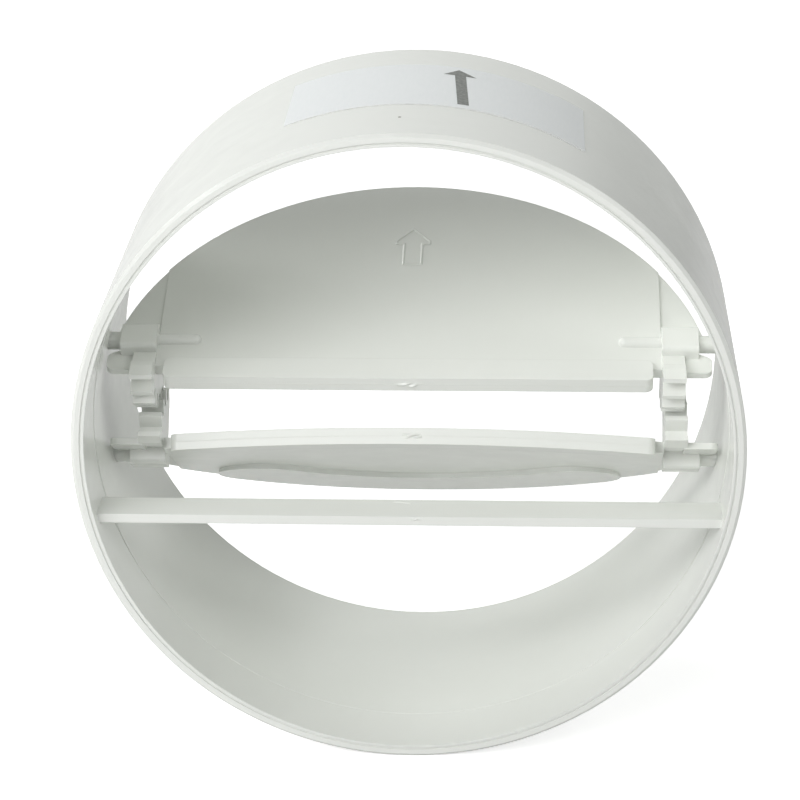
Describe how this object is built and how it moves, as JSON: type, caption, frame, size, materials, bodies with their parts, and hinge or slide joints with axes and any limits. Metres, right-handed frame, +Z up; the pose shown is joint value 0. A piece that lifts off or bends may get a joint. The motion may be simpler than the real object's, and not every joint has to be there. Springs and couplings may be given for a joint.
{
  "type": "duct backdraft damper",
  "caption": "Short round duct ring with geared half-moon flaps that swing open together in the airflow and fall shut against backdraft, with a bar across the inlet.",
  "frame": {"origin": "centre of the ring, on its axis and halfway between its two rims", "axes": "+Y along the ring's axis, the way the air goes, from the inlet with the bar to the outlet; +Z up; +X to the right, seen from the inlet"},
  "size_m": [0.098, 0.0574, 0.0981],
  "materials": {
    "ring_plastic": "smooth moulded, semi-gloss",
    "flap_plastic": "smooth moulded, semi-gloss",
    "label_film": "printed self-adhesive film"
  },
  "bodies": {
    "ring": {"duct_ring": "ring_plastic", "airflow_label": "label_film"},
    "upper": {"upper_flap": "flap_plastic"},
    "lower": {"lower_flap": "flap_plastic"}
  },
  "joints": [
    {"name": "lower_hinge", "type": "hinge", "parent": "ring", "child": "lower", "pos_m": [0, 0.0006, -0.00925], "axis": [1, 0, 0], "range_deg": [-58.5, 22]},
    {"name": "upper_hinge", "type": "hinge", "parent": "ring", "child": "upper", "pos_m": [0, 0.0006, 0.00925], "axis": [1, 0, 0], "range_deg": [-22, 58.5]}
  ],
  "couplings": [
    {"joint": "upper_hinge", "follows": "lower_hinge", "ratio": -1}
  ]
}
